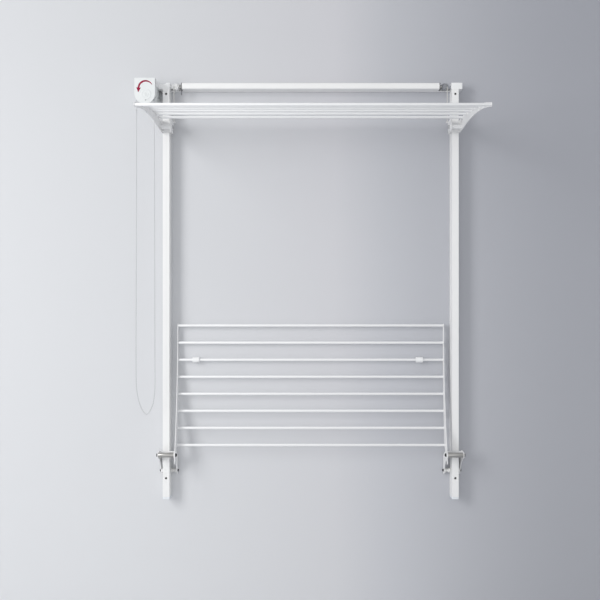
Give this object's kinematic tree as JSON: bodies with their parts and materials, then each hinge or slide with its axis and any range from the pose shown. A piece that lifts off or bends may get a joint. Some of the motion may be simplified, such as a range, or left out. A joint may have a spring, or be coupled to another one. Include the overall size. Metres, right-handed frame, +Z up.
{
  "type": "wall mounted fold down drying rack",
  "caption": "Wall mounted drying rack: guide rails under a head beam, an arched bar rack that a bead chain winch lifts and lowers, and a folding bar rack below.",
  "frame": {"origin": "middle of the head beam's back face, on the wall", "axes": "+Z up, +X to the right of a person facing the wall, -Y out of the wall into the room"},
  "size_m": [1.1763, 0.5895, 1.5034],
  "materials": {
    "rail_coat": "white powder coat over extruded aluminium",
    "arm_coat": "white powder coat, satin",
    "bracket_coat": "white powder coat, satin",
    "bar_coat": "white powder coat over drawn tube",
    "white_plastic": "moulded, satin",
    "cap_plastic": "moulded, faintly cool white",
    "grey_plastic": "moulded, slightly worn where it slides",
    "steel": "brushed",
    "dark_steel": "blackened",
    "cord": "braided",
    "chain": "moulded beads, satin"
  },
  "bodies": {
    "wall_frame": {"rail_left": "rail_coat", "rail_right": "rail_coat", "rail_end_cap_left": "cap_plastic", "rail_end_cap_right": "cap_plastic", "wall_screw_top_left": "steel", "wall_screw_top_right": "steel", "wall_screw_bottom_left": "steel", "wall_screw_bottom_right": "steel", "head_beam": "rail_coat", "head_cover": "rail_coat", "head_bracket_left": "white_plastic", "head_bracket_right": "white_plastic", "gearbox_housing": "white_plastic", "gearbox_cover": "white_plastic", "lower_bracket_left": "bracket_coat", "lower_bracket_right": "bracket_coat", "axle_tube_left": "steel", "axle_tube_right": "steel", "axle_bolt_left": "dark_steel", "axle_bolt_right": "dark_steel", "cross_bolt_left": "dark_steel", "cross_bolt_right": "dark_steel", "rail_spacer_left": "white_plastic", "rail_spacer_right": "white_plastic", "bead_chain": "chain", "lift_cord_left": "cord", "lift_cord_right": "cord"},
    "carriages": {"carriage_left": "bracket_coat", "carriage_right": "bracket_coat", "carriage_glide_left": "white_plastic", "carriage_glide_right": "white_plastic", "carriage_pin_left": "dark_steel", "carriage_pin_right": "dark_steel"},
    "upper_rack": {"upper_arm_left": "arm_coat", "upper_arm_right": "arm_coat", "upper_bar_1": "bar_coat", "upper_bar_2": "bar_coat", "upper_bar_3": "bar_coat", "upper_bar_4": "bar_coat", "upper_bar_5": "bar_coat", "upper_bar_6": "bar_coat", "upper_bar_7": "bar_coat", "upper_bar_8": "bar_coat"},
    "lower_rack": {"lower_arm_left": "arm_coat", "lower_arm_right": "arm_coat", "lower_bar_1": "bar_coat", "lower_bar_2": "bar_coat", "lower_bar_3": "bar_coat", "lower_bar_4": "bar_coat", "lower_bar_5": "bar_coat", "lower_bar_6": "bar_coat", "lower_bar_7": "bar_coat", "lower_bar_8": "bar_coat", "wall_bumper_left": "white_plastic", "wall_bumper_right": "white_plastic"},
    "shaft_set": {"drive_shaft": "steel", "cord_drum_left": "white_plastic", "cord_drum_right": "grey_plastic", "worm_wheel": "grey_plastic"},
    "winch_wheel": {"chain_wheel": "grey_plastic"}
  },
  "joints": [
    {"name": "carriage_lift", "type": "slide", "parent": "wall_frame", "child": "carriages", "axis": [0, 0, -1], "range_m": [0, 0.64], "deforming": ["lift_cord_left", "lift_cord_right"]},
    {"name": "upper_rack_fold", "type": "hinge", "parent": "carriages", "child": "upper_rack", "pos_m": [0, -0.085, -0.156], "axis": [-1, 0, 0], "range_deg": [0, 88]},
    {"name": "lower_rack_fold", "type": "hinge", "parent": "wall_frame", "child": "lower_rack", "pos_m": [0, -0.085, -1.3239], "axis": [1, 0, 0], "range_deg": [0, 102]},
    {"name": "drive_shaft_spin", "type": "hinge", "parent": "wall_frame", "child": "shaft_set", "pos_m": [0, -0.028, 0], "axis": [1, 0, 0], "range_deg": [0, 3870]},
    {"name": "chain_wheel_spin", "type": "hinge", "parent": "wall_frame", "child": "winch_wheel", "pos_m": [-0.5875, -0.092, -0.04], "axis": [0, 1, 0], "range_deg": [0, 15480]}
  ],
  "couplings": [
    {"joint": "drive_shaft_spin", "follows": "carriage_lift", "rad_per_m": 105.26},
    {"joint": "chain_wheel_spin", "follows": "carriage_lift", "rad_per_m": 421.05}
  ]
}
